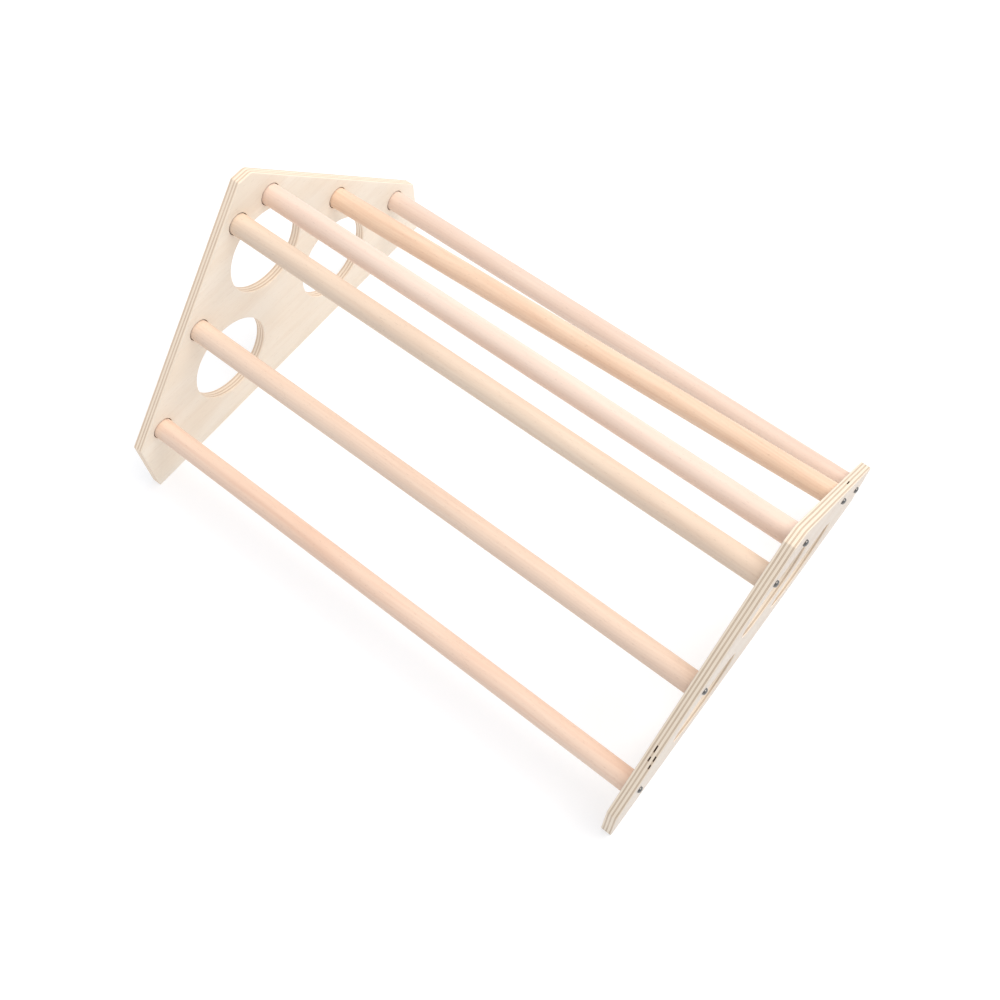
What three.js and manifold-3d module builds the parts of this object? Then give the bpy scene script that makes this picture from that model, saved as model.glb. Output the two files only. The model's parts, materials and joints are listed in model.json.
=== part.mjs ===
// Wooden climbing triangle for a toddler.
//
// Two plywood side panels stand parallel to each other and are joined by six round beech rungs,
// three up the front slope and three down the rear slope. Each rung end sits in a shallow blind
// socket in the panel's inner face, and a pan-head screw from outside pulls it in.
//
// Units are millimetres. +X runs along the rungs from the left panel to the right one, the front
// slope faces -Y, and +Z is up. The origin is on the floor, under the middle of the object.

import * as THREE from "three";
import { mergeVertices } from "three/addons/utils/BufferGeometryUtils.js";
import Module from "manifold-3d";

const wasm = await Module();
wasm.setup();

// ---- Driving dimensions ----

// Clearance between pieces that touch on the real object.
const GAP = 0.3;
// How far a cutting tool runs past the face it cuts through.
const OVERCUT = 1;

// Side panels.
const INNER_WIDTH = 770;
const PANEL_THICKNESS = 15;
const HALF_DEPTH = 288;
const EDGE_HEIGHT = 100;
const SLOPE_ANGLE = THREE.MathUtils.degToRad(46);
const TOP_HALF_WIDTH = 11;
const TOP_CORNER_RADIUS = 4;
const TOP_CORNER_STEPS = 4;
const ARRIS = 1;

// Round through-holes in each panel.
const HOLE_RADIUS = 65;
const LOW_HOLE_OFFSET = 108;
const LOW_HOLE_HEIGHT = 111;
const TOP_HOLE_HEIGHT = 245;
const HOLE_SEGMENTS = 48;

// Rungs.
const RUNG_RADIUS = 15;
const RUNG_INSET = 27.5;
const FIRST_RUNG = 34.5;
const RUNG_PITCH = 154.5;
const RUNG_SEGMENTS = 32;

// The middle rear rung is screwed on out of line: its right end sits this much further down the
// slope and this much closer to the sloping edge than its left end.
const STRAY_DOWN = 39;
const STRAY_OUT = 9.5;

// Blind sockets in the inner faces. They are bored wide, so a dark line shows round each rung.
const SOCKET_DEPTH = 5;
const SOCKET_CLEARANCE = 1;
const SOCKET_CHAMFER = 0.5;

// Pan-head screws.
const HEAD_RADIUS = 4.5;
const HEAD_RIM = 1.4;
const HEAD_HEIGHT = 3.4;
const SHANK_RADIUS = 2.25;
const SCREW_REACH = 32;
const SCREW_POINT = 5;
const SCREW_SEGMENTS = 16;
const RECESS_SPAN = 4.4;
const RECESS_WIDTH = 1;
const RECESS_DEPTH = 1.6;

// ---- Values worked out from them ----

const INNER_FACE = INNER_WIDTH / 2;
const OUTER_FACE = INNER_FACE + PANEL_THICKNESS;
const TOP_HEIGHT = EDGE_HEIGHT + (HALF_DEPTH - TOP_HALF_WIDTH) * Math.tan(SLOPE_ANGLE);
const SOCKET_RADIUS = RUNG_RADIUS + SOCKET_CLEARANCE;
const BORE_RADIUS = SHANK_RADIUS + GAP;
const RUNG_END = INNER_FACE + SOCKET_DEPTH - GAP;
const HEAD_SEAT = OUTER_FACE + GAP;
const SCREW_TIP = OUTER_FACE - SCREW_REACH;

// ---- Materials ----

const birch = () => new THREE.MeshStandardMaterial({ color: 0xeedfc3, roughness: 0.62, metalness: 0 });
const beech = () => new THREE.MeshStandardMaterial({ color: 0xe8c4a2, roughness: 0.55, metalness: 0 });
const zinc = () => new THREE.MeshStandardMaterial({ color: 0xb4b7b8, roughness: 0.32, metalness: 1 });

// ---- Solids ----

function toSolid(geometry) {
  const bare = geometry.clone();
  bare.deleteAttribute("normal");
  bare.deleteAttribute("uv");
  const merged = mergeVertices(bare, 1e-4);
  const mesh = new wasm.Mesh({
    numProp: 3,
    vertProperties: new Float32Array(merged.attributes.position.array),
    triVerts: new Uint32Array(merged.index.array),
  });
  mesh.merge();
  return new wasm.Manifold(mesh);
}

function toGeometry(solid) {
  const mesh = solid.getMesh();
  const geometry = new THREE.BufferGeometry();
  geometry.setAttribute("position", new THREE.BufferAttribute(mesh.vertProperties, 3));
  geometry.setIndex(new THREE.BufferAttribute(mesh.triVerts, 1));
  geometry.computeVertexNormals();
  return geometry;
}

// A solid turned about an X-parallel axis through centre. Profile points are [radius, x] as on
// the right side of the object; on the left side (side -1) x is mirrored, and the order with it.
function turnedSolid(profile, side, centre, segments) {
  const placed = side > 0 ? profile : profile.map(([radius, x]) => [radius, -x]).reverse();
  const points = placed.map(([radius, x]) => new THREE.Vector2(radius, x));
  const geometry = new THREE.LatheGeometry(points, segments);
  geometry.rotateZ(-Math.PI / 2);
  geometry.translate(0, centre.y, centre.z);
  return toSolid(geometry);
}

// ---- Rung places ----

// A place on a slope, as { y, z }: distance up the slope from its lower corner, and depth below
// the sloping edge. facing is -1 on the front slope and +1 on the rear one.
function onSlope(facing, distance, depth) {
  const inward = HALF_DEPTH - distance * Math.cos(SLOPE_ANGLE) - depth * Math.sin(SLOPE_ANGLE);
  return {
    y: facing * inward,
    z: EDGE_HEIGHT + distance * Math.sin(SLOPE_ANGLE) - depth * Math.cos(SLOPE_ANGLE),
  };
}

function rungPlaces() {
  const places = [];
  const levels = ["low", "middle", "top"];
  for (const [slope, facing] of [["front", -1], ["rear", 1]]) {
    levels.forEach((level, step) => {
      const distance = FIRST_RUNG + step * RUNG_PITCH;
      const left = onSlope(facing, distance, RUNG_INSET);
      const astray = slope === "rear" && level === "middle";
      const right = astray ? onSlope(facing, distance - STRAY_DOWN, RUNG_INSET - STRAY_OUT) : left;
      places.push({ name: `${slope}_rung_${level}`, left, right });
    });
  }
  return places;
}

// Where a rung's axis crosses a plane of constant x.
function axisAt(place, x) {
  const share = (x + INNER_FACE) / INNER_WIDTH;
  return {
    y: THREE.MathUtils.lerp(place.left.y, place.right.y, share),
    z: THREE.MathUtils.lerp(place.left.z, place.right.z, share),
  };
}

// The axis half way down the socket, where the socket, the bores and the screw are centred.
function socketCentre(place, side) {
  return axisAt(place, side * (INNER_FACE + SOCKET_DEPTH / 2));
}

// ---- Side panels ----

// The rounded corner between a slope and the flat top, from the slope to the middle of the top.
// facing is -1 on the front slope and +1 on the rear one.
function topCorner(facing) {
  const reach = TOP_CORNER_RADIUS * Math.tan(SLOPE_ANGLE / 2);
  const points = [];
  for (let step = 0; step <= TOP_CORNER_STEPS; step += 1) {
    const turn = SLOPE_ANGLE * (1 - step / TOP_CORNER_STEPS);
    const across = TOP_HALF_WIDTH - reach + TOP_CORNER_RADIUS * Math.sin(turn);
    const drop = TOP_CORNER_RADIUS * (1 - Math.cos(turn));
    points.push(new THREE.Vector2(facing * across, TOP_HEIGHT - drop));
  }
  return points;
}

function panelShape() {
  const shape = new THREE.Shape([
    new THREE.Vector2(-HALF_DEPTH, 0),
    new THREE.Vector2(HALF_DEPTH, 0),
    new THREE.Vector2(HALF_DEPTH, EDGE_HEIGHT),
    ...topCorner(1),
    ...topCorner(-1).reverse(),
    new THREE.Vector2(-HALF_DEPTH, EDGE_HEIGHT),
  ]);
  const centres = [
    [-LOW_HOLE_OFFSET, LOW_HOLE_HEIGHT],
    [LOW_HOLE_OFFSET, LOW_HOLE_HEIGHT],
    [0, TOP_HOLE_HEIGHT],
  ];
  for (const [y, z] of centres) {
    shape.holes.push(new THREE.Path().absarc(y, z, HOLE_RADIUS, 0, 2 * Math.PI, true));
  }
  return shape;
}

// Cuts a socket with its chamfered mouth, and the screw's clearance hole behind it.
function socketTool(place, side) {
  const centre = socketCentre(place, side);
  const mouth = SOCKET_CHAMFER + OVERCUT;
  const socket = [
    [0, INNER_FACE - OVERCUT],
    [SOCKET_RADIUS + mouth, INNER_FACE - OVERCUT],
    [SOCKET_RADIUS, INNER_FACE + SOCKET_CHAMFER],
    [SOCKET_RADIUS, INNER_FACE + SOCKET_DEPTH],
    [0, INNER_FACE + SOCKET_DEPTH],
  ];
  const bore = [
    [0, INNER_FACE],
    [BORE_RADIUS, INNER_FACE],
    [BORE_RADIUS, OUTER_FACE + OVERCUT],
    [0, OUTER_FACE + OVERCUT],
  ];
  return turnedSolid(socket, side, centre, RUNG_SEGMENTS)
    .add(turnedSolid(bore, side, centre, SCREW_SEGMENTS));
}

function sidePanel(side, places) {
  const blank = new THREE.ExtrudeGeometry(panelShape(), {
    depth: PANEL_THICKNESS - 2 * ARRIS,
    bevelEnabled: true,
    bevelThickness: ARRIS,
    bevelSize: ARRIS,
    bevelOffset: -ARRIS,
    bevelSegments: 1,
    curveSegments: HOLE_SEGMENTS / 2,
  });
  // The outline's plane becomes YZ, and the thickness runs along X.
  const upright = new THREE.Matrix4().makeBasis(
    new THREE.Vector3(0, 1, 0),
    new THREE.Vector3(0, 0, 1),
    new THREE.Vector3(1, 0, 0),
  );
  blank.applyMatrix4(upright);
  const lowestX = side > 0 ? INNER_FACE : -OUTER_FACE;
  blank.translate(lowestX + ARRIS, 0, 0);
  let panel = toSolid(blank);
  for (const place of places) {
    panel = panel.subtract(socketTool(place, side));
  }
  return toGeometry(panel);
}

// ---- Rungs ----

// A round bar along the rung's axis, cut off square to the X axis at both ends, with a blind
// bore along X in each end for its screw.
function rung(place) {
  const start = axisAt(place, -OUTER_FACE);
  const end = axisAt(place, OUTER_FACE);
  const from = new THREE.Vector3(-OUTER_FACE, start.y, start.z);
  const to = new THREE.Vector3(OUTER_FACE, end.y, end.z);
  const along = to.clone().sub(from);
  const bar = new THREE.CylinderGeometry(RUNG_RADIUS, RUNG_RADIUS, along.length(), RUNG_SEGMENTS);
  const turn = new THREE.Quaternion().setFromUnitVectors(
    new THREE.Vector3(0, 1, 0),
    along.clone().normalize(),
  );
  bar.applyQuaternion(turn);
  bar.translate(0, (from.y + to.y) / 2, (from.z + to.z) / 2);

  const slab = new THREE.BoxGeometry(2 * RUNG_END, 4 * HALF_DEPTH, 4 * TOP_HEIGHT);
  let solid = toSolid(bar).intersect(toSolid(slab));
  for (const side of [-1, 1]) {
    const bore = [
      [0, SCREW_TIP - GAP],
      [BORE_RADIUS, SCREW_TIP - GAP],
      [BORE_RADIUS, RUNG_END + OVERCUT],
      [0, RUNG_END + OVERCUT],
    ];
    solid = solid.subtract(turnedSolid(bore, side, socketCentre(place, side), SCREW_SEGMENTS));
  }
  return toGeometry(solid);
}

// ---- Screws ----

function screw(place, side) {
  const centre = socketCentre(place, side);
  const crown = HEAD_SEAT + HEAD_HEIGHT;
  const profile = [
    [0, SCREW_TIP],
    [SHANK_RADIUS, SCREW_TIP + SCREW_POINT],
    [SHANK_RADIUS, HEAD_SEAT],
    [HEAD_RADIUS, HEAD_SEAT],
    [HEAD_RADIUS, HEAD_SEAT + HEAD_RIM],
    [HEAD_RADIUS * 0.86, HEAD_SEAT + HEAD_HEIGHT * 0.72],
    [HEAD_RADIUS * 0.55, HEAD_SEAT + HEAD_HEIGHT * 0.93],
    [0, crown],
  ];
  let solid = turnedSolid(profile, side, centre, SCREW_SEGMENTS);
  const depth = RECESS_DEPTH + OVERCUT;
  const recessX = side * (crown - RECESS_DEPTH + depth / 2);
  for (const [spanY, spanZ] of [[RECESS_SPAN, RECESS_WIDTH], [RECESS_WIDTH, RECESS_SPAN]]) {
    const slot = new THREE.BoxGeometry(depth, spanY, spanZ);
    slot.translate(recessX, centre.y, centre.z);
    solid = solid.subtract(toSolid(slot));
  }
  return toGeometry(solid);
}

// ---- Assembly ----

function piece(name, geometry, material) {
  const mesh = new THREE.Mesh(geometry, material);
  mesh.name = name;
  return mesh;
}

const triangle = new THREE.Group();
const places = rungPlaces();
const sides = [["left", -1], ["right", 1]];

for (const [word, side] of sides) {
  triangle.add(piece(`side_panel_${word}`, sidePanel(side, places), birch()));
}
for (const place of places) {
  triangle.add(piece(place.name, rung(place), beech()));
}
for (const [word, side] of sides) {
  for (const place of places) {
    triangle.add(piece(`screw_${word}_${place.name}`, screw(place, side), zinc()));
  }
}

export default triangle;
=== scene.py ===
"""A wooden climbing triangle for toddlers: birch plywood sides, beech rungs and zinc screws.

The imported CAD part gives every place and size. This script builds the fine surface around it:
plywood with rounded arrises and plies, turned rungs with uneven grain, and threaded screws.
Lengths are metres, in the part's frame: +X along the rungs, +Y to the rear, +Z up.
"""

import json
import math

import bmesh
import bpy
from mathutils import Matrix, Quaternion, Vector, noise


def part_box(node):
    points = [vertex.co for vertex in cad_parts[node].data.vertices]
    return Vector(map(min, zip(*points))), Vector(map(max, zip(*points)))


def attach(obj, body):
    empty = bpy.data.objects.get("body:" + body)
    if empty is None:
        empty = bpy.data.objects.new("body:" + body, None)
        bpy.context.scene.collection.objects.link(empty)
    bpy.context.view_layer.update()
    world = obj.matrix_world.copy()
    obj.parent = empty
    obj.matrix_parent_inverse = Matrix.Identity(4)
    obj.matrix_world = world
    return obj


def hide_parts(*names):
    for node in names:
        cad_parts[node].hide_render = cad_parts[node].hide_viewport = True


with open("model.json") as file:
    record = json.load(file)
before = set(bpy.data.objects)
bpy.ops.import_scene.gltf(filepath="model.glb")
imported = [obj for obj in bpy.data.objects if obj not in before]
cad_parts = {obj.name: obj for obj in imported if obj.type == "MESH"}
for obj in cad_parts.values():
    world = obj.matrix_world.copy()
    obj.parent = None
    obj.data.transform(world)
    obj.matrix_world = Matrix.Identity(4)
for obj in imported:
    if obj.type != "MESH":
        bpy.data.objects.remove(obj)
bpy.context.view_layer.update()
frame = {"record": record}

MM = 0.001
SIDES = {"left": -1, "right": 1}
LEVELS = ("low", "middle", "top")
RUNGS = [f"{slope}_rung_{level}" for slope in ("front", "rear") for level in LEVELS]

# ---------------------------------------------------------------------------
# Dimensions of the fine surface
# ---------------------------------------------------------------------------

# Edges that bend more than this are shaded sharp, on the panels and on the round pieces.
PANEL_SHARP = math.radians(40)
ROUND_SHARP = math.radians(35)

EDGE_HEIGHT = 100 * MM
TOP_HALF_WIDTH = 11 * MM
TOP_FRONT_RADIUS = 3 * MM
TOP_REAR_RADIUS = 9 * MM
FOOT_CORNER_RADIUS = 1.2 * MM
CORNER_STEPS = 8
HOLE_RADIUS = 65 * MM
HOLE_STEPS = 120
ARRIS_RADIUS = 1.0 * MM
ARRIS_STEPS = 4

# The dark cross plies, as shares of the thickness from the face that carries the sockets.
DARK_PLIES = ((0.17, 0.27), (0.46, 0.56), (0.79, 0.89))
# A dark ply lies this deep in a cut edge. The step down to it spans this much on each side of the
# ply's border.
PLY_RECESS = 0.12 * MM
PLY_LIP = 0.15 * MM

# Gaps in an inner ply that show on a sloping edge: side, slope, distance up the slope from its
# lower corner, length along it, which dark ply, and depth.
PLY_VOIDS = (
    ("right", "front", 104 * MM, 8 * MM, 1, 3.0 * MM),
    ("right", "front", 90 * MM, 5 * MM, 1, 2.5 * MM),
    ("right", "front", 93 * MM, 6 * MM, 2, 2.5 * MM),
    ("right", "front", 82 * MM, 4 * MM, 2, 2.0 * MM),
    ("right", "rear", 124 * MM, 14 * MM, 1, 3.0 * MM),
)
# The edge is whole again this far beyond each end of a gap.
VOID_END = 1.2 * MM
# The corner of the outline at which each slope starts, counted from the front foot.
SLOPES = {2: "rear", 4: "front"}

RUNG_RADIUS = 15 * MM
RUNG_STEPS = 72
RUNG_RINGS = 90
# How far a rung's surface may stand off true, in a noise with so many cells for each metre along
# the rung and a radius of so many cells across it. It runs true over the last stretch to an end.
RUNG_UNEVEN = 0.05 * MM
RUNG_WAVES_ALONG = 9
RUNG_WAVES_ACROSS = 1.3
RUNG_FADE = 20 * MM
RUNG_CHAMFER = 0.8 * MM
SOCKET_DEPTH = 5 * MM
SOCKET_RADIUS = 16 * MM
SOCKET_CHAMFER = 0.5 * MM
SOCKET_STEPS = 64
BORE_RADIUS = 2.55 * MM
BORE_DEPTH = 22 * MM

# A screw's head stands this far off the panel.
HEAD_GAP = 0.3 * MM
HEAD_RADIUS = 4.5 * MM
HEAD_HEIGHT = 3.4 * MM
HEAD_RIM = 0.9 * MM
HEAD_BEVEL = 0.25 * MM
# The power of the cosine in the crown's profile: below 1 the crown is fuller than an ellipse.
HEAD_ROUNDING = 0.75
HEAD_STEPS = 9
SCREW_STEPS = 32
SHANK_RADIUS = 2.25 * MM
PLAIN_SHANK = 9 * MM
SCREW_POINT = 5 * MM
THREAD_ROOT = 1.5 * MM
THREAD_PITCH = 2.0 * MM
# Half a thread's width as a share of the pitch, the power that sharpens it, and how small its
# crest gets at the tip, as a share of the shank's radius.
THREAD_HALF_WIDTH = 0.32
THREAD_SHARPNESS = 1.4
TIP_SHARE = 0.3
# Rings for each turn of the thread.
THREAD_RINGS = 8
RECESS_SPAN = 4.4 * MM
RECESS_WIDTH = 0.95 * MM
RECESS_DEPTH = 1.6 * MM
# The tool that cuts the recess starts this far above the head. Its cross is larger there and
# smaller at the bottom of the recess, by these factors.
RECESS_CLEARANCE = 1 * MM
RECESS_FLARE = 1.25
RECESS_TAPER = 0.62
# Points of the cut screw that are closer than this become one.
WELD = 0.004 * MM

# How far round each screw is driven, in degrees: a start for each side, then a step for each rung.
DRIVEN_START = {"left": 64, "right": 11}
DRIVEN_STEP = 37

# ---------------------------------------------------------------------------
# Places read from the frame
# ---------------------------------------------------------------------------


def rung_axis(name, x):
    """Where the rung's axis crosses a plane of constant x, as (y, z).

    A rung that isn't square to the panels runs down and to the rear on its way to the right.
    """
    low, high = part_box(name)
    left = Vector((low.y + RUNG_RADIUS, high.z - RUNG_RADIUS))
    right = Vector((high.y - RUNG_RADIUS, low.z + RUNG_RADIUS))
    return left.lerp(right, (x - low.x) / (high.x - low.x))


def socket_centre(rung, side):
    """The rung's axis half way down its socket, where the socket and the screw are centred."""
    low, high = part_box(f"side_panel_{side}")
    face = min(abs(low.x), abs(high.x))
    return rung_axis(rung, SIDES[side] * (face + SOCKET_DEPTH / 2))


def hole_centre(name):
    """The middle of one of the record's openings, as (y, z)."""
    for opening in frame["record"]["physics"]["openings"]:
        if opening["name"] == name:
            low, high = opening["box_m"]
            return Vector(((low[1] + high[1]) / 2, (low[2] + high[2]) / 2))
    raise KeyError(name)


# ---------------------------------------------------------------------------
# Mesh helpers
# ---------------------------------------------------------------------------


def object_from(name, bm, materials):
    """A linked object from a bmesh, with its normals out and the given materials."""
    bmesh.ops.recalc_face_normals(bm, faces=bm.faces[:])
    mesh = bpy.data.meshes.new(name)
    bm.to_mesh(mesh)
    bm.free()
    for material in materials:
        mesh.materials.append(material)
    obj = bpy.data.objects.new(name, mesh)
    bpy.context.scene.collection.objects.link(obj)
    return obj


def add_ring(bm, x, outline):
    """Vertices in the plane of constant x, at the outline's (y, z) points."""
    return [bm.verts.new((x, p.x, p.y)) for p in outline]


def bridge(bm, first, second, smooth=True):
    """Quads between two rings of the same length."""
    faces = []
    for i in range(len(first)):
        j = (i + 1) % len(first)
        face = bm.faces.new((first[i], first[j], second[j], second[i]))
        face.smooth = smooth
        faces.append(face)
    return faces


def bridge_all(bm, rings):
    """The quads of each band between one ring and the next."""
    return [bridge(bm, first, second) for first, second in zip(rings, rings[1:])]


def close_ring(bm, ring):
    """One flat face across a ring."""
    face = bm.faces.new(ring)
    face.smooth = False


def circle(centre, radius, steps):
    """Points (y, z) round a centre, counter-clockwise seen from +X.

    The radius is a number, or a function of the angle.
    """
    points = []
    for i in range(steps):
        turn = 2 * math.pi * i / steps
        direction = Vector((math.cos(turn), math.sin(turn)))
        reach = radius(turn) if callable(radius) else radius
        points.append(centre + direction * reach)
    return points


def fill_flat(bm, rings):
    """One flat cap: the first ring is its boundary and the other rings are its holes."""
    edges = []
    for ring in rings:
        for i, vert in enumerate(ring):
            edges.append(bm.edges.get((vert, ring[(i + 1) % len(ring)])))
    filled = bmesh.ops.triangle_fill(bm, use_beauty=True, use_dissolve=False, edges=edges)
    for item in filled["geom"]:
        if isinstance(item, bmesh.types.BMFace):
            item.smooth = False


# ---------------------------------------------------------------------------
# Materials
# ---------------------------------------------------------------------------

# Each panel has its own copy of the veneer and plies: the left copy is lighter, as painted light,
# and the right copy darker, as painted shade.
# Colours are display values of 0 to 255.
# Light and warm veneer, its figure, its fibres and its pores.
VENEERS_WITH_PAINTED_LIGHT = {
    "left": ((245, 236, 222), (241, 228, 210), (231, 214, 195), (224, 206, 186), (190, 168, 144)),
    "right": ((232, 223, 212), (228, 216, 203), (219, 204, 189), (212, 197, 181), (180, 160, 141)),
}
# Light ply, its grain, dark ply, its grain, and the glue line.
PLIES_WITH_PAINTED_LIGHT = {
    "left": ((252, 235, 214), (245, 225, 202), (235, 210, 185), (204, 176, 150), (172, 145, 122)),
    "right": ((242, 228, 209), (229, 211, 188), (220, 199, 174), (178, 154, 131), (144, 123, 105)),
}
# The two tones that noise mixes in each of these. The first pair is wood darkened with painted
# shade, for inside the ply gaps, the sockets and the screws' holes.
HOLLOW_SHADE_TONES = ((132, 102, 76), (78, 58, 42))
ZINC = ((150, 149, 147), (96, 95, 94))
FLOOR_TONES = ((192, 193, 195), (196, 197, 199))

# For each rung: seed, then the pale, deep and streak colours of its wood.
# These colours are partly each rung's own tone and partly painted light and shade: the low front
# rung is made lighter and the top front rung darker, to even out the light that reaches them.
RUNG_WOOD_WITH_PAINTED_LIGHT = {
    "front_rung_low": (1, (242, 217, 197), (238, 206, 184), (218, 176, 150)),
    "front_rung_middle": (2, (241, 218, 198), (235, 209, 189), (213, 179, 154)),
    "front_rung_top": (3, (236, 216, 195), (230, 207, 186), (213, 184, 160)),
    "rear_rung_top": (4, (243, 223, 208), (239, 216, 200), (226, 197, 180)),
    "rear_rung_middle": (5, (242, 217, 193), (237, 206, 180), (212, 169, 137)),
    "rear_rung_low": (6, (238, 219, 204), (233, 209, 193), (218, 187, 170)),
}

# Noise cells for each metre along X, Y and Z.
VENEER_GRAIN = {
    "broad": (1, 4, 14),
    "figure": (1, 6, 90),
    "fibre": (300, 28, 900),
    "pores": (400, 90, 1300),
}
PLY_GRAIN = {
    "end": (900, 500, 500),
    "long": (700, 40, 40),
    "patch": (1, 22, 22),
    "waver": (0.4, 14, 14),
}
BEECH_GRAIN = {
    "drift": (2.2, 14, 14),
    "streaks": (3.5, 150, 150),
    "fibre": (45, 1100, 1100),
    "flecks": (190, 1500, 1500),
    "blush": (4, 20, 20),
}
HOLLOW_GRAIN = (500, 900, 900)
ZINC_MOTTLE = (900, 900, 900)
ZINC_SCRATCH = (2600, 400, 400)
FLOOR_GRAIN = (3, 3, 3)

# Each panel's seed. A rung's seed is in RUNG_WOOD_WITH_PAINTED_LIGHT.
PANEL_SEEDS = {"left": 12.7, "right": 27.3}

# The noise at which each pattern sets in, and the noise at which it is at its strongest.
VENEER_ONSETS = {"broad": (0.30, 0.72), "figure": (0.44, 0.66), "pores": (0.68, 0.78)}
BEECH_ONSETS = {
    "growth": (0.08, 0.46),
    "streaks": (0.48, 0.70),
    "flecks": (0.67, 0.74),
    "blush": (0.30, 0.70),
}

# How much of each tone is mixed in where its pattern is strongest. For the plies, how much where
# it is weakest and where it is strongest: the glue lines fade where the patches are strong.
VENEER_SHARES = {"figure": 0.20, "fibre": 0.18, "pores": 0.35}
BEECH_SHARES = {"growth": 0.12, "streaks": 0.34, "fibre": 0.14, "flecks": 0.40}
PLY_SHARES = {"long": (0.0, 0.5), "end": (0.1, 0.9), "patch": (0.0, 0.6), "glue": (0.85, 0.2)}

# Growth rings across a rung: rings for each metre, how many of them the drift bends them by, and
# the leans that a rung's seed picks from.
GROWTH_RINGS = 210
GROWTH_DRIFT = 9.0
RING_LEANS = (0.3, 0.55, 0.8)

# The colours of a rung's fibres and flecks, as shares of its streak colour.
FIBRE_TONE = 0.86
FLECK_TONE = 0.62

# As shares of the thickness: half the width over which a ply changes to the next, how far from
# there its glue line reaches and where it is full, and how much the plies waver.
PLY_BLUR = 0.014
GLUE_EDGE = 0.020
GLUE_CORE = 0.004
PLY_WAVER = 0.04

# A surface whose normal has this much X in it is edge below the first and veneer above the second.
FACE_NORMAL = (0.55, 0.80)

# How far each surface's relief stands out, and where in it the pores, the dark plies and the
# flecks lie against fibres of height 1.
PANEL_RELIEF = 0.06 * MM
BEECH_RELIEF = 0.05 * MM
HOLLOW_RELIEF = 0.2 * MM
ZINC_RELIEF = 0.01 * MM
PORE_HEIGHT = -0.8
DARK_PLY_HEIGHT = -0.6
FLECK_HEIGHT = -0.7

# Roughness where each surface's pattern is weakest and where it is strongest.
PANEL_ROUGH = (0.56, 0.74)
BEECH_ROUGH = (0.46, 0.62)
HOLLOW_ROUGH = (0.80, 0.95)
ZINC_ROUGH = (0.16, 0.52)
FLOOR_ROUGH = (0.85, 0.95)


def srgb(red, green, blue):
    """A linear colour from display values of 0 to 255."""
    def linear(value):
        value = value / 255
        return value / 12.92 if value <= 0.04045 else ((value + 0.055) / 1.055) ** 2.4
    return (linear(red), linear(green), linear(blue), 1.0)


def darker(colour, factor):
    """The colour times a factor, still opaque."""
    return tuple(channel * factor for channel in colour[:3]) + (1.0,)


class Shader:
    """A short way to write a node tree: each call adds a node and returns its output."""

    def __init__(self, name):
        self.material = bpy.data.materials.new(name)
        self.material.use_nodes = True
        self.tree = self.material.node_tree
        self.tree.nodes.clear()
        self.output = self.tree.nodes.new("ShaderNodeOutputMaterial")

    def connect(self, value, socket):
        """Links a node's output to the socket, or sets the socket to a constant."""
        if isinstance(value, bpy.types.NodeSocket):
            self.tree.links.new(value, socket)
        else:
            socket.default_value = value

    def node(self, kind, inputs, **settings):
        """A new node, with its inputs by name or number and its settings."""
        made = self.tree.nodes.new(kind)
        for key, value in settings.items():
            setattr(made, key, value)
        for key, value in inputs.items():
            self.connect(value, made.inputs[key])
        return made

    def math(self, operation, a, b=0.0):
        """One operation on one or two numbers."""
        return self.node("ShaderNodeMath", {0: a, 1: b}, operation=operation).outputs[0]

    def position(self):
        """The place on the piece, in the part's frame."""
        return self.node("ShaderNodeTexCoord", {}).outputs["Object"]

    def axis(self, vector, index):
        """One of the vector's three numbers."""
        return self.node("ShaderNodeSeparateXYZ", {0: vector}).outputs[index]

    def noise(self, vector, scale, offset=0.0, detail=3.0, roughness=0.5, distortion=0.0):
        """Noise with a scale of its own along X, Y and Z, in cells for each metre."""
        place = {"Vector": vector, "Scale": scale, "Location": (offset, offset, offset)}
        moved = self.node("ShaderNodeMapping", place).outputs[0]
        inputs = {
            "Vector": moved,
            "Scale": 1.0,
            "Detail": detail,
            "Roughness": roughness,
            "Distortion": distortion,
        }
        return self.node("ShaderNodeTexNoise", inputs).outputs["Fac"]

    def ramp(self, value, low, high, smooth=False):
        """0 at low and 1 at high, held beyond them. low may be the larger one."""
        kind = "SMOOTHSTEP" if smooth else "LINEAR"
        inputs = {"Value": value, "From Min": low, "From Max": high}
        return self.node("ShaderNodeMapRange", inputs, interpolation_type=kind).outputs[0]

    def spread(self, value, low, high):
        """0 becomes low and 1 becomes high."""
        inputs = {"Value": value, "To Min": low, "To Max": high}
        return self.node("ShaderNodeMapRange", inputs).outputs[0]

    def mix(self, factor, first, second):
        """The first colour at factor 0 and the second at 1."""
        made = self.tree.nodes.new("ShaderNodeMix")
        made.data_type = "RGBA"
        # The Mix node's colour mode takes its inputs from sockets 0, 6 and 7 and gives output 2.
        for index, value in ((0, factor), (6, first), (7, second)):
            self.connect(value, made.inputs[index])
        return made.outputs[2]

    def finish(self, colour, roughness, height=None, distance=0.0, **surface):
        """The material, with its surface and a bump of the given height and depth."""
        inputs = {"Base Color": colour, "Roughness": roughness}
        for key, value in surface.items():
            inputs[key.replace("_", " ")] = value
        shader = self.node("ShaderNodeBsdfPrincipled", inputs)
        if height is not None:
            bump = self.node("ShaderNodeBump", {"Height": height, "Distance": distance})
            self.tree.links.new(bump.outputs[0], shader.inputs["Normal"])
        self.tree.links.new(shader.outputs[0], self.output.inputs["Surface"])
        return self.material


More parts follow.
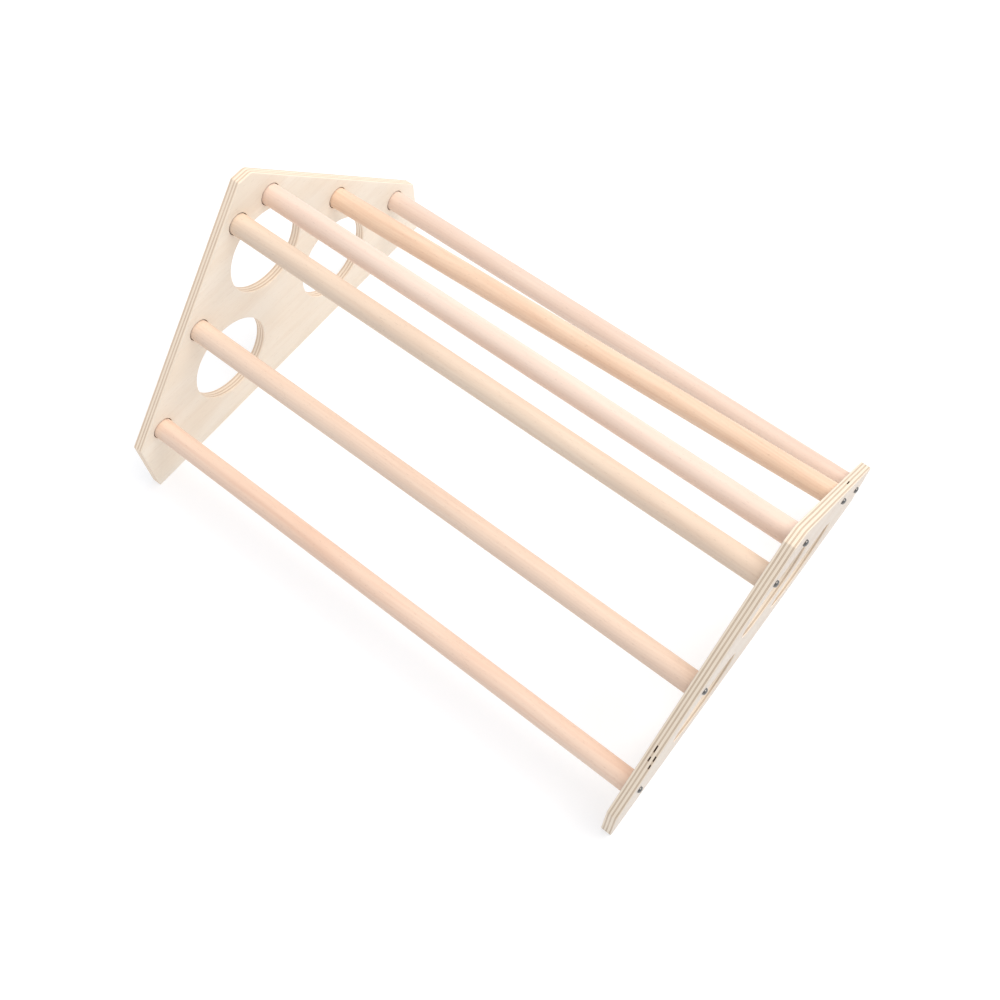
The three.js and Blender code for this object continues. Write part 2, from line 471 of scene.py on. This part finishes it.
def veneer_colour(s, position, side, seed):
    """The pale birch face veneer, grained front to rear, with its fibres and its pores."""
    light, warm, figure_tone, fibre_tone, pore_tone = [srgb(*tone) for tone in VENEERS_WITH_PAINTED_LIGHT[side]]
    grain, onsets, shares = VENEER_GRAIN, VENEER_ONSETS, VENEER_SHARES
    broad = s.noise(position, grain["broad"], seed, distortion=0.6)
    broad = s.ramp(broad, *onsets["broad"], smooth=True)
    figure = s.noise(position, grain["figure"], seed + 1, detail=4, roughness=0.55, distortion=1.2)
    figure = s.ramp(figure, *onsets["figure"], smooth=True)
    fibre = s.noise(position, grain["fibre"], seed + 2, detail=2, roughness=0.6)
    pores = s.ramp(s.noise(position, grain["pores"], seed + 5, detail=1), *onsets["pores"])
    colour = s.mix(broad, light, warm)
    colour = s.mix(s.spread(figure, 0.0, shares["figure"]), colour, figure_tone)
    colour = s.mix(s.spread(fibre, 0.0, shares["fibre"]), colour, fibre_tone)
    colour = s.mix(s.math("MULTIPLY", pores, shares["pores"]), colour, pore_tone)
    return colour, fibre, pores


def ply_colour(s, position, depth, side, seed):
    """Light and dark plies with thin glue lines, by depth as a share of the thickness.

    Also gives where the dark plies are.
    """
    light, light_fibre, heavy, heavy_fibre, glue_tone = [srgb(*tone) for tone in PLIES_WITH_PAINTED_LIGHT[side]]
    dark = 0.0
    glue = 0.0
    for start, end in DARK_PLIES:
        rise = s.ramp(depth, start - PLY_BLUR, start + PLY_BLUR)
        fall = s.ramp(depth, end + PLY_BLUR, end - PLY_BLUR)
        dark = s.math("ADD", dark, s.math("MULTIPLY", rise, fall))
        for line in (start, end):
            off = s.math("ABSOLUTE", s.math("SUBTRACT", depth, line))
            glue = s.math("ADD", glue, s.ramp(off, GLUE_EDGE, GLUE_CORE))
    grain, shares = PLY_GRAIN, PLY_SHARES
    end_grain = s.noise(position, grain["end"], seed + 3, detail=2, roughness=0.7)
    long_grain = s.noise(position, grain["long"], seed + 4, detail=2, roughness=0.6)
    patch = s.noise(position, grain["patch"], seed + 6, roughness=0.6)
    light_ply = s.mix(s.spread(long_grain, *shares["long"]), light, light_fibre)
    dark_ply = s.mix(s.spread(end_grain, *shares["end"]), heavy, heavy_fibre)
    dark_ply = s.mix(s.spread(patch, *shares["patch"]), dark_ply, light_fibre)
    colour = s.mix(s.math("MINIMUM", dark, 1.0), light_ply, dark_ply)
    glue = s.math("MULTIPLY", s.math("MINIMUM", glue, 1.0), s.spread(patch, *shares["glue"]))
    return s.mix(glue, colour, glue_tone), dark


def birch_plywood(side):
    """Pale veneer on the two faces, and plies wherever the thickness shows."""
    s = Shader(f"birch_plywood_{side}")
    low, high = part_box(f"side_panel_{side}")
    sign = SIDES[side]
    inner = min(abs(low.x), abs(high.x))
    seed = PANEL_SEEDS[side]
    position = s.position()
    veneer, fibre, pores = veneer_colour(s, position, side, seed)

    outward = s.math("MULTIPLY", s.axis(position, 0), sign)
    depth = s.math("DIVIDE", s.math("SUBTRACT", outward, inner), high.x - low.x)
    waver = s.noise(position, PLY_GRAIN["waver"], seed + 9, detail=2)
    waver = s.math("MULTIPLY", s.math("SUBTRACT", waver, 0.5), PLY_WAVER)
    edge, dark = ply_colour(s, position, s.math("ADD", depth, waver), side, seed)

    normal = s.node("ShaderNodeNewGeometry", {}).outputs["Normal"]
    is_face = s.ramp(s.math("ABSOLUTE", s.axis(normal, 0)), *FACE_NORMAL)
    colour = s.mix(is_face, edge, veneer)
    height = s.math("ADD", fibre, s.math("MULTIPLY", pores, PORE_HEIGHT))
    height = s.math("ADD", height, s.math("MULTIPLY", dark, DARK_PLY_HEIGHT))
    rough = s.spread(fibre, *PANEL_ROUGH)
    return s.finish(colour, rough, height, PANEL_RELIEF, Specular_IOR_Level=0.35)


def hollow_shade_wood():
    """Broken wood inside a gap in an inner ply, a socket or a screw's hole, its colour darkened
    further with painted shade.
    """
    s = Shader("hollow_shade_wood")
    hollow_mottle = s.noise(s.position(), HOLLOW_GRAIN, roughness=0.7)
    colour = s.mix(hollow_mottle, *[srgb(*tone) for tone in HOLLOW_SHADE_TONES])
    return s.finish(colour, s.spread(hollow_mottle, *HOLLOW_ROUGH), hollow_mottle, HOLLOW_RELIEF)


def beech(rung, seed, pale, deep, streak):
    """A turned dowel: growth lines and streaks along X, and the short flecks beech has."""
    s = Shader(f"beech_{rung}")
    position = s.position()
    grain, onsets, shares = BEECH_GRAIN, BEECH_ONSETS, BEECH_SHARES
    lean = RING_LEANS[seed % len(RING_LEANS)]
    across = s.math("ADD", s.math("MULTIPLY", s.axis(position, 1), lean), s.axis(position, 2))
    rings = s.math("MULTIPLY", across, GROWTH_RINGS)
    drift = s.noise(position, grain["drift"], seed, detail=2)
    rings = s.math("ADD", rings, s.math("MULTIPLY", drift, GROWTH_DRIFT))
    growth = s.ramp(s.math("PINGPONG", rings, 0.5), *onsets["growth"], smooth=True)
    streaks = s.noise(position, grain["streaks"], seed + 3, detail=4, roughness=0.6, distortion=0.4)
    streaks = s.ramp(streaks, *onsets["streaks"])
    fibre = s.noise(position, grain["fibre"], seed + 4, detail=2, roughness=0.6)
    flecks = s.ramp(s.noise(position, grain["flecks"], seed + 5, detail=1), *onsets["flecks"])
    blush = s.noise(position, grain["blush"], seed + 6, detail=2)
    blush = s.ramp(blush, *onsets["blush"], smooth=True)

    colour = s.mix(blush, pale, deep)
    colour = s.mix(s.spread(growth, 0.0, shares["growth"]), colour, streak)
    colour = s.mix(s.spread(streaks, 0.0, shares["streaks"]), colour, streak)
    colour = s.mix(s.spread(fibre, 0.0, shares["fibre"]), colour, darker(streak, FIBRE_TONE))
    colour = s.mix(s.math("MULTIPLY", flecks, shares["flecks"]), colour, darker(streak, FLECK_TONE))
    height = s.math("ADD", fibre, s.math("MULTIPLY", flecks, FLECK_HEIGHT))
    rough = s.spread(fibre, *BEECH_ROUGH)
    return s.finish(colour, rough, height, BEECH_RELIEF, Specular_IOR_Level=0.4)


def zinc_plate():
    """Zinc plating, mottled and lightly scratched."""
    s = Shader("zinc_plate")
    position = s.position()
    mottled = s.noise(position, ZINC_MOTTLE, roughness=0.6)
    scratch = s.noise(position, ZINC_SCRATCH, offset=3, detail=2, roughness=0.6)
    colour = s.mix(mottled, *[srgb(*tone) for tone in ZINC])
    rough = s.spread(s.math("MULTIPLY", mottled, scratch), *ZINC_ROUGH)
    return s.finish(colour, rough, scratch, ZINC_RELIEF, Metallic=1.0)


def pale_floor():
    """A matt floor with a little glow, so that it comes out white with only faint shadows."""
    s = Shader("pale_floor")
    cloud = s.noise(s.position(), FLOOR_GRAIN, detail=2)
    colour = s.mix(cloud, *[srgb(*tone) for tone in FLOOR_TONES])
    glow = {"Emission_Color": (1, 1, 1, 1), "Emission_Strength": FLOOR_GLOW}
    return s.finish(colour, s.spread(cloud, *FLOOR_ROUGH), **glow)


# ---------------------------------------------------------------------------
# Side panels
# ---------------------------------------------------------------------------


def corner_arc(before, corner, after, radius):
    """The points that round off a corner between two straight edges."""
    back = (before - corner).normalized()
    ahead = (after - corner).normalized()
    half = back.angle(ahead) / 2
    start = corner + back * (radius / math.tan(half))
    end = corner + ahead * (radius / math.tan(half))
    centre = corner + (back + ahead).normalized() * (radius / math.sin(half))
    points = []
    for step in range(CORNER_STEPS + 1):
        share = step / CORNER_STEPS
        spoke = (start - centre).slerp(end - centre, share)
        points.append(centre + spoke * radius)
    return points


def slope_voids(side, slope, whole):
    """The gaps on one slope, as (start, length, dark ply, depth) along the outline's walk."""
    voids = []
    for void_side, void_slope, place, length, ply, depth in PLY_VOIDS:
        if (void_side, void_slope) == (side, slope):
            # The front slope is walked downhill, from the top corner to the lower one. The rear
            # slope is walked uphill.
            start = place if slope == "rear" else whole - place - length
            voids.append((start, length, ply, depth))
    return voids


def panel_outline(side):
    """The outline as (y, z), counter-clockwise from the front foot, and the gaps' stretches.

    Each stretch is (first point, last point, dark ply, depth), and the gap is cut from the first
    point to the last.
    """
    low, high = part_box(f"side_panel_{side}")
    corners = [
        Vector((low.y, low.z)),
        Vector((high.y, low.z)),
        Vector((high.y, EDGE_HEIGHT)),
        Vector((TOP_HALF_WIDTH, high.z)),
        Vector((-TOP_HALF_WIDTH, high.z)),
        Vector((low.y, EDGE_HEIGHT)),
    ]
    foot = FOOT_CORNER_RADIUS
    radii = (foot, foot, foot, TOP_REAR_RADIUS, TOP_FRONT_RADIUS, foot)
    points = []
    stretches = []
    for i, radius in enumerate(radii):
        after = corners[(i + 1) % len(corners)]
        points += corner_arc(corners[i - 1], corners[i], after, radius)
        if i not in SLOPES:
            continue
        start, end = corners[i], corners[i + 1]
        along = (end - start).normalized()
        voids = slope_voids(side, SLOPES[i], (end - start).length)
        # Points at the middle and the ends of each gap, and where the edge is whole again. They
        # are kept to the micrometre, so that gaps that share a place share its point.
        places = set()
        for first, length, ply, depth in voids:
            last = first + length
            for place in (first - VOID_END, first, first + length / 2, last, last + VOID_END):
                places.add(round(place, 6))
        index = {}
        for place in sorted(places):
            index[place] = len(points)
            points.append(start + along * place)
        for first, length, ply, depth in voids:
            opened = (index[round(first, 6)], index[round(first + length, 6)])
            stretches.append((*opened, ply, depth))
    return points, stretches


def moved_in(points, distances):
    """The outline moved to its left side, each point by its own distance."""
    count = len(points)
    moved = []
    for i, point in enumerate(points):
        before = (point - points[i - 1]).normalized()
        after = (points[(i + 1) % count] - point).normalized()
        first = Vector((-before.y, before.x))
        second = Vector((-after.y, after.x))
        offset = (first + second) / (1 + first.dot(second))
        moved.append(point + offset * distances[i])
    return moved


def wall_rings(thickness):
    """(depth, inset, dark ply or None) for each ring from the socketed face outward."""
    rings = []
    for step in range(ARRIS_STEPS + 1):
        turn = math.pi / 2 * step / ARRIS_STEPS
        depth = ARRIS_RADIUS * (1 - math.cos(turn))
        back = ARRIS_RADIUS * (1 - math.sin(turn))
        rings.append((depth, back, None))
        rings.append((thickness - depth, back, None))
    for ply, (start, end) in enumerate(DARK_PLIES):
        rings.append((start * thickness - PLY_LIP, 0.0, None))
        rings.append((start * thickness + PLY_LIP, PLY_RECESS, ply))
        rings.append((end * thickness - PLY_LIP, PLY_RECESS, ply))
        rings.append((end * thickness + PLY_LIP, 0.0, None))
    return sorted(rings, key=lambda ring: ring[0])


def panel_wall(bm, outline, stretches, face_x, sign, thickness):
    """One wall through the thickness, broken open where it has gaps. Returns the rings at its
    faces.
    """
    rings = []
    for depth, back, ply in wall_rings(thickness):
        distances = [back] * len(outline)
        for first, last, void_ply, void_depth in stretches:
            if ply == void_ply:
                for i in range(first, last + 1):
                    distances[i] = void_depth
        outline_here = moved_in(outline, distances)
        rings.append(add_ring(bm, face_x + sign * depth, outline_here))
    for quads, ring, next_ring in zip(bridge_all(bm, rings), rings, rings[1:]):
        middle = abs(ring[0].co.x + next_ring[0].co.x - 2 * face_x) / 2
        for first, last, void_ply, void_depth in stretches:
            start, end = DARK_PLIES[void_ply]
            if start * thickness - PLY_LIP < middle < end * thickness + PLY_LIP:
                # The walls inside a gap get the wood darkened with painted shade.
                for quad in quads[first - 1:last + 1]:
                    quad.material_index = 1
    return rings[0], rings[-1]


def socket_and_bore(bm, rung, side, face_x, thickness):
    """A blind socket for a rung end and the screw's hole behind it. Returns the open rings."""
    centre = socket_centre(rung, side)
    sign = SIDES[side]
    rings = []
    for depth, radius in (
        (0.0, SOCKET_RADIUS + SOCKET_CHAMFER),
        (SOCKET_CHAMFER, SOCKET_RADIUS),
        (SOCKET_DEPTH, SOCKET_RADIUS),
        (SOCKET_DEPTH, BORE_RADIUS),
        (thickness, BORE_RADIUS),
    ):
        rings.append(add_ring(bm, face_x + sign * depth, circle(centre, radius, SOCKET_STEPS)))
    # The socket's wall and floor and the screw's hole get the wood darkened with painted shade.
    for quads in bridge_all(bm, rings)[1:]:
        for quad in quads:
            quad.material_index = 1
    return rings[0], rings[-1]


def side_panel(side, materials):
    """One panel, of the given plywood and of the wood darkened with painted shade for its gaps,
    sockets and holes.
    """
    name = f"side_panel_{side}"
    low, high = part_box(name)
    sign = SIDES[side]
    face_x = sign * min(abs(low.x), abs(high.x))
    thickness = high.x - low.x
    bm = bmesh.new()
    outline, stretches = panel_outline(side)
    inner, outer = panel_wall(bm, outline, stretches, face_x, sign, thickness)
    inner_rings = [inner]
    outer_rings = [outer]
    for hole in ("front_hole", "rear_hole", "top_hole"):
        # A hole is walked clockwise, so that its left side is in the wood as well.
        points = circle(hole_centre(f"{side}_{hole}"), HOLE_RADIUS, HOLE_STEPS)[::-1]
        inner, outer = panel_wall(bm, points, [], face_x, sign, thickness)
        inner_rings.append(inner)
        outer_rings.append(outer)
    for rung in RUNGS:
        inner, outer = socket_and_bore(bm, rung, side, face_x, thickness)
        inner_rings.append(inner)
        outer_rings.append(outer)
    fill_flat(bm, inner_rings)
    fill_flat(bm, outer_rings)
    panel = object_from(f"{name}_plywood", bm, materials)
    panel.data.set_sharp_from_angle(angle=PANEL_SHARP)
    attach(panel, "root")
    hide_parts(name)


# ---------------------------------------------------------------------------
# Rungs
# ---------------------------------------------------------------------------


def rung_surface(seed):
    """How far the turned surface stands off true, for a place x along it and an angle."""
    def unevenness(x, turn):
        across = Vector((math.cos(turn), math.sin(turn))) * RUNG_WAVES_ACROSS
        place = Vector((x * RUNG_WAVES_ALONG, across.x, across.y + seed))
        return RUNG_UNEVEN * noise.noise(place)
    return unevenness


def rung_end_rings(bm, name, x_end, inward, side):
    """The end face and the bore behind it. Returns the ring round the outer edge of the face."""
    centre = rung_axis(name, x_end)
    bore_centre = socket_centre(name, side)
    rings = [add_ring(bm, x_end, circle(centre, RUNG_RADIUS - RUNG_CHAMFER, RUNG_STEPS))]
    for depth in (0.0, BORE_DEPTH):
        points = circle(bore_centre, BORE_RADIUS, RUNG_STEPS)
        rings.append(add_ring(bm, x_end + inward * depth, points))
    bridge(bm, rings[0], rings[1], smooth=False)
    bridge(bm, rings[1], rings[2])
    close_ring(bm, rings[2])
    return rings[0]


def rung_piece(name, seed, material):
    """One rung, with eased ends and a pilot bore in each."""
    low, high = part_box(name)
    off_true = rung_surface(seed)
    bm = bmesh.new()
    rings = []
    first = low.x + RUNG_CHAMFER
    last = high.x - RUNG_CHAMFER
    for i in range(RUNG_RINGS + 1):
        x = first + (last - first) * i / RUNG_RINGS
        fade = min(1.0, (x - first) / RUNG_FADE, (last - x) / RUNG_FADE)
        # Moved in by the unevenness first, so that no wave stands out past the true radius.
        points = circle(
            rung_axis(name, x),
            lambda turn: RUNG_RADIUS - RUNG_UNEVEN * fade + off_true(x, turn) * fade,
            RUNG_STEPS,
        )
        rings.append(add_ring(bm, x, points))
    bridge_all(bm, rings)
    left_face = rung_end_rings(bm, name, low.x, 1, "left")
    right_face = rung_end_rings(bm, name, high.x, -1, "right")
    bridge(bm, left_face, rings[0])
    bridge(bm, rings[-1], right_face)
    piece = object_from(f"{name}_dowel", bm, [material])
    piece.data.set_sharp_from_angle(angle=ROUND_SHARP)
    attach(piece, "root")
    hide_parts(name)


# ---------------------------------------------------------------------------
# Screws
# ---------------------------------------------------------------------------


def screw_profile():
    """(x, radius) from the head's seat to its crown, with x measured outward from the seat."""
    profile = [(0.0, HEAD_RADIUS - HEAD_BEVEL), (HEAD_BEVEL, HEAD_RADIUS)]
    for step in range(HEAD_STEPS):
        turn = math.pi / 2 * step / HEAD_STEPS
        rise = HEAD_RIM + (HEAD_HEIGHT - HEAD_RIM) * math.sin(turn)
        profile.append((rise, HEAD_RADIUS * math.cos(turn) ** HEAD_ROUNDING))
    return profile


def thread_radius(x, turn, tip_x):
    """The shank's radius at x below the seat (x is negative) and at an angle."""
    if x > -PLAIN_SHANK:
        return SHANK_RADIUS
    taper = min(1.0, (x - tip_x) / SCREW_POINT)
    phase = (x / THREAD_PITCH + turn / (2 * math.pi)) % 1.0
    crest = max(0.0, 1 - abs(phase - 0.5) / THREAD_HALF_WIDTH) ** THREAD_SHARPNESS
    root = THREAD_ROOT * taper
    return root + (SHANK_RADIUS * max(taper, TIP_SHARE) - root) * crest


def screw_mesh(length):
    """A pan-head wood screw along +X, its seat at x = 0 and its point at x = -length."""
    bm = bmesh.new()
    origin = Vector((0, 0))
    tip_x = -length
    rings = []
    count = int(length / THREAD_PITCH * THREAD_RINGS)
    for i in range(1, count + 1):
        x = tip_x + length * i / count
        points = circle(origin, lambda turn: thread_radius(x, turn, tip_x), SCREW_STEPS)
        rings.append(add_ring(bm, x, points))
    for x, radius in screw_profile():
        rings.append(add_ring(bm, x, circle(origin, radius, SCREW_STEPS)))
    bridge_all(bm, rings)
    for ring, x in ((rings[0], tip_x), (rings[-1], HEAD_HEIGHT)):
        point = bm.verts.new((x, 0, 0))
        for i in range(SCREW_STEPS):
            face = bm.faces.new((ring[i], ring[(i + 1) % SCREW_STEPS], point))
            face.smooth = True
    bmesh.ops.recalc_face_normals(bm, faces=bm.faces[:])
    mesh = bpy.data.meshes.new("screw_blank")
    bm.to_mesh(mesh)
    bm.free()
    return mesh


def recess_tool():
    """A cross that tapers inward, to cut the screwdriver's recess."""
    bm = bmesh.new()
    wide = RECESS_SPAN / 2
    thin = RECESS_WIDTH / 2
    outline = []
    for quarter in range(4):
        turn = Matrix.Rotation(math.pi / 2 * quarter, 2)
        for corner in ((thin, thin), (thin, wide), (-thin, wide)):
            outline.append(turn @ Vector(corner))
    top = add_ring(bm, HEAD_HEIGHT + RECESS_CLEARANCE, [p * RECESS_FLARE for p in outline])
    bottom = add_ring(bm, HEAD_HEIGHT - RECESS_DEPTH, [p * RECESS_TAPER for p in outline])
    bridge(bm, top, bottom, smooth=False)
    close_ring(bm, top)
    close_ring(bm, bottom)
    return object_from("recess_tool", bm, [])


def cut_screw(length):
    """The screw's finished mesh, with its recess cut and the slivers of the cut welded away."""
    blank = bpy.data.objects.new("screw_blank", screw_mesh(length))
    bpy.context.scene.collection.objects.link(blank)
    tool = recess_tool()
    cut = blank.modifiers.new("recess", "BOOLEAN")
    cut.operation = "DIFFERENCE"
    cut.solver = "EXACT"
    cut.object = tool
    graph = bpy.context.evaluated_depsgraph_get()
    mesh = bpy.data.meshes.new_from_object(blank.evaluated_get(graph))
    bm = bmesh.new()
    bm.from_mesh(mesh)
    bmesh.ops.remove_doubles(bm, verts=bm.verts[:], dist=WELD)
    bmesh.ops.dissolve_degenerate(bm, edges=bm.edges[:], dist=WELD)
    bm.to_mesh(mesh)
    bm.free()
    mesh.set_sharp_from_angle(angle=ROUND_SHARP)
    bpy.data.objects.remove(blank)
    bpy.data.objects.remove(tool)
    return mesh


def place_screws(material):
    """A copy of the one screw for each rung end, its head just clear of the panel."""
    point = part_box("screw_right_front_rung_low")[0].x
    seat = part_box("side_panel_right")[1].x + HEAD_GAP
    mesh = cut_screw(seat - point)
    mesh.materials.clear()
    mesh.materials.append(material)
    for side, sign in SIDES.items():
        for number, rung in enumerate(RUNGS):
            name = f"screw_{side}_{rung}"
            centre = socket_centre(rung, side)
            driven = math.radians(DRIVEN_STEP * number + DRIVEN_START[side])
            spin = Matrix.Rotation(driven, 4, "X")
            facing = Matrix.Rotation(0 if sign > 0 else math.pi, 4, "Z")
            place = Matrix.Translation((sign * seat, centre.x, centre.y))
            piece = bpy.data.objects.new(f"{name}_zinc", mesh.copy())
            bpy.context.scene.collection.objects.link(piece)
            piece.data.transform(place @ facing @ spin)
            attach(piece, "root")
            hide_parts(name)


# ---------------------------------------------------------------------------
# Camera, floor and light
# ---------------------------------------------------------------------------

CAMERA_PLACE = Vector((0.4661, -0.5713, 1.5331))
CAMERA_AIM = Vector((0.0036, -0.0509, 0.150))
CAMERA_ROLL = math.radians(3.591)
CAMERA_LENS = 43.42
CAMERA_SENSOR = 36.0
CAMERA_SHIFT = (0.0254, -0.0312)
CAMERA_CLIP = (0.05, 100.0)

FLOOR_HALF = 12.0
FLOOR_GLOW = 0.52
SKY_STRENGTH = 0.69
SKY_COLOUR = (0.90, 0.94, 1.0, 1.0)
KEY_PLACE = Vector((0.92, 1.5, 4.1))
KEY_AIM = Vector((0.0, 0.0, 0.2))
KEY_SIZE = 4.0
KEY_POWER = 148
KEY_COLOUR = (1.0, 0.91, 0.82)


def make_camera():
    """The view from above the front, a little rolled."""
    data = bpy.data.cameras.new("camera")
    data.lens = CAMERA_LENS
    data.sensor_width = CAMERA_SENSOR
    data.shift_x, data.shift_y = CAMERA_SHIFT
    data.clip_start, data.clip_end = CAMERA_CLIP
    camera = bpy.data.objects.new("camera", data)
    bpy.context.scene.collection.objects.link(camera)
    forward = (CAMERA_AIM - CAMERA_PLACE).normalized()
    level = forward.cross(Vector((0, 0, 1))).normalized()
    right = Quaternion(forward, CAMERA_ROLL) @ level
    up = right.cross(forward)
    turn = Matrix((right, up, -forward)).transposed()
    camera.matrix_world = Matrix.Translation(CAMERA_PLACE) @ turn.to_4x4()
    bpy.context.scene.camera = camera


def make_floor():
    """A square floor at z = 0, far wider than the view."""
    bm = bmesh.new()
    corners = [(-1, -1), (1, -1), (1, 1), (-1, 1)]
    bm.faces.new([bm.verts.new((x * FLOOR_HALF, y * FLOOR_HALF, 0)) for x, y in corners])
    floor = object_from("floor", bm, [pale_floor()])


def make_lights():
    """A pale sky all round and one wide, warm light above the rear right."""
    world = bpy.data.worlds.new("studio")
    world.use_nodes = True
    background = world.node_tree.nodes["Background"]
    background.inputs["Color"].default_value = SKY_COLOUR
    background.inputs["Strength"].default_value = SKY_STRENGTH
    bpy.context.scene.world = world
    data = bpy.data.lights.new("key", "AREA")
    data.shape = "DISK"
    data.size = KEY_SIZE
    data.energy = KEY_POWER
    data.color = KEY_COLOUR
    light = bpy.data.objects.new("key", data)
    bpy.context.scene.collection.objects.link(light)
    light.location = KEY_PLACE
    light.rotation_mode = "QUATERNION"
    light.rotation_quaternion = (KEY_AIM - KEY_PLACE).to_track_quat("-Z", "Y")
    bpy.context.scene.view_settings.view_transform = "Standard"


# ---------------------------------------------------------------------------
# The object
# ---------------------------------------------------------------------------

make_camera()
make_floor()
make_lights()
hollow_shade = hollow_shade_wood()
for side in SIDES:
    side_panel(side, [birch_plywood(side), hollow_shade])
for rung, (seed, pale, deep, streak) in RUNG_WOOD_WITH_PAINTED_LIGHT.items():
    rung_piece(rung, seed, beech(rung, seed, srgb(*pale), srgb(*deep), srgb(*streak)))
place_screws(zinc_plate())
